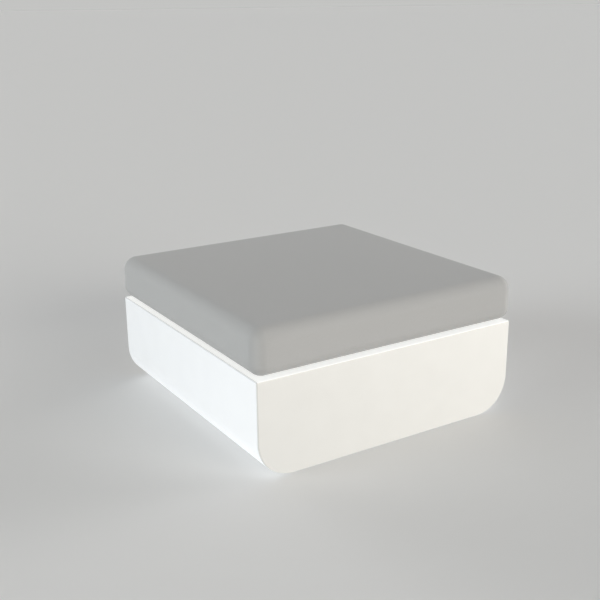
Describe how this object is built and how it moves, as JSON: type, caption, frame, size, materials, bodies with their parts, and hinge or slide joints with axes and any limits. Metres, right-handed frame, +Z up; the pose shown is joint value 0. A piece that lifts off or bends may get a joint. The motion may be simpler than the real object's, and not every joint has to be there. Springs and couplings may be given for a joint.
{
  "type": "light-up stool",
  "caption": "Low square light-up stool: a white translucent moulded box, rounded under along two sides and lit from inside, under a smooth grey upholstered cushion.",
  "frame": {"origin": "on the floor under the middle of the stool", "axes": "+Z up; the flat ends of the moulded body face -Y (front) and +Y (back, with the zip); its rounded sides face -X and +X"},
  "size_m": [0.81, 0.81, 0.39],
  "materials": {
    "glow_shell": "translucent white moulding, lit from inside",
    "cover_cloth": "smooth light grey upholstery",
    "foam": "open-cell foam",
    "zip_tape": "woven tape",
    "zip_coil": "nylon coil",
    "zip_metal": "painted die casting",
    "board": "sealed plywood",
    "hook_tape": "hook tape",
    "loop_tape": "loop tape",
    "steel": "zinc plated",
    "brass": "turned",
    "foot_rubber": "matt rubber",
    "seal_rubber": "soft seal",
    "module_plastic": "satin moulding",
    "opal": "opal diffuser",
    "button_metal": "satin",
    "jack_plastic": "moulded",
    "cover_plastic": "moulded",
    "cell_sleeve": "shrink sleeve",
    "cradle_plastic": "moulded",
    "aluminium": "rolled sheet",
    "circuit": "solder resist",
    "connector": "moulded",
    "component": "moulded",
    "light_circuit": "white solder resist",
    "led": "phosphor window",
    "lead_black": "wire sleeve",
    "lead_red": "wire sleeve",
    "lead_white": "wire sleeve"
  },
  "bodies": {
    "stool_base": {"body_shell": "glow_shell", "foot_front_left": "foot_rubber", "foot_front_right": "foot_rubber", "foot_back_left": "foot_rubber", "foot_back_right": "foot_rubber", "foot_screws": "steel", "foot_inserts": "brass", "seat_board": "board", "board_screws": "steel", "board_inserts": "brass", "hook_strips": "hook_tape", "module_base": "module_plastic", "flange_gasket": "seal_rubber", "flange_screws": "steel", "flange_inserts": "brass", "dome_seal": "seal_rubber", "diffuser_dome": "opal", "dome_screws": "steel", "switch_barrel": "button_metal", "switch_nut": "steel", "button_spring": "steel", "charge_jack": "jack_plastic", "jack_pin": "brass", "jack_nut": "steel", "hinge_pin": "steel", "battery_cells": "cell_sleeve", "battery_cradle": "cradle_plastic", "battery_strap": "aluminium", "strap_screws": "steel", "circuit_board": "circuit", "circuit_screws": "steel", "board_connectors": "connector", "driver_parts": "component", "light_carrier": "aluminium", "carrier_screws": "steel", "light_board": "light_circuit", "led_chips": "led", "switch_lead": "lead_white", "jack_lead": "lead_black", "battery_lead": "lead_red", "led_lead": "lead_white"},
    "cushion": {"cushion_cover": "cover_cloth", "foam_core": "foam", "loop_strips": "loop_tape", "zip_tapes": "zip_tape", "zip_coils": "zip_coil"},
    "slider": {"zip_slider": "zip_metal"},
    "pull": {"zip_pull": "zip_metal"},
    "button": {"power_button": "button_metal"},
    "flap": {"socket_cover": "cover_plastic", "socket_seal": "seal_rubber"}
  },
  "joints": [
    {"name": "cushion_lift", "type": "slide", "parent": "stool_base", "child": "cushion", "axis": [0, 0, 1], "range_m": [0, 0.25]},
    {"name": "zip_slide", "type": "slide", "parent": "cushion", "child": "slider", "axis": [-1, 0, 0], "range_m": [0, 0.6]},
    {"name": "zip_pull_swing", "type": "hinge", "parent": "slider", "child": "pull", "pos_m": [0.3105, 0.4029, 0.3265], "axis": [0, 0, -1], "range_deg": [0, 150]},
    {"name": "button_press", "type": "slide", "parent": "stool_base", "child": "button", "axis": [0, 0, 1], "range_m": [0, 0.002], "stiffness_N_per_m": 800, "deforming": ["button_spring"]},
    {"name": "socket_cover_hinge", "type": "hinge", "parent": "stool_base", "child": "flap", "pos_m": [0.0335, -0.0399, 0.029], "axis": [0, -1, 0], "range_deg": [0, 95]}
  ]
}
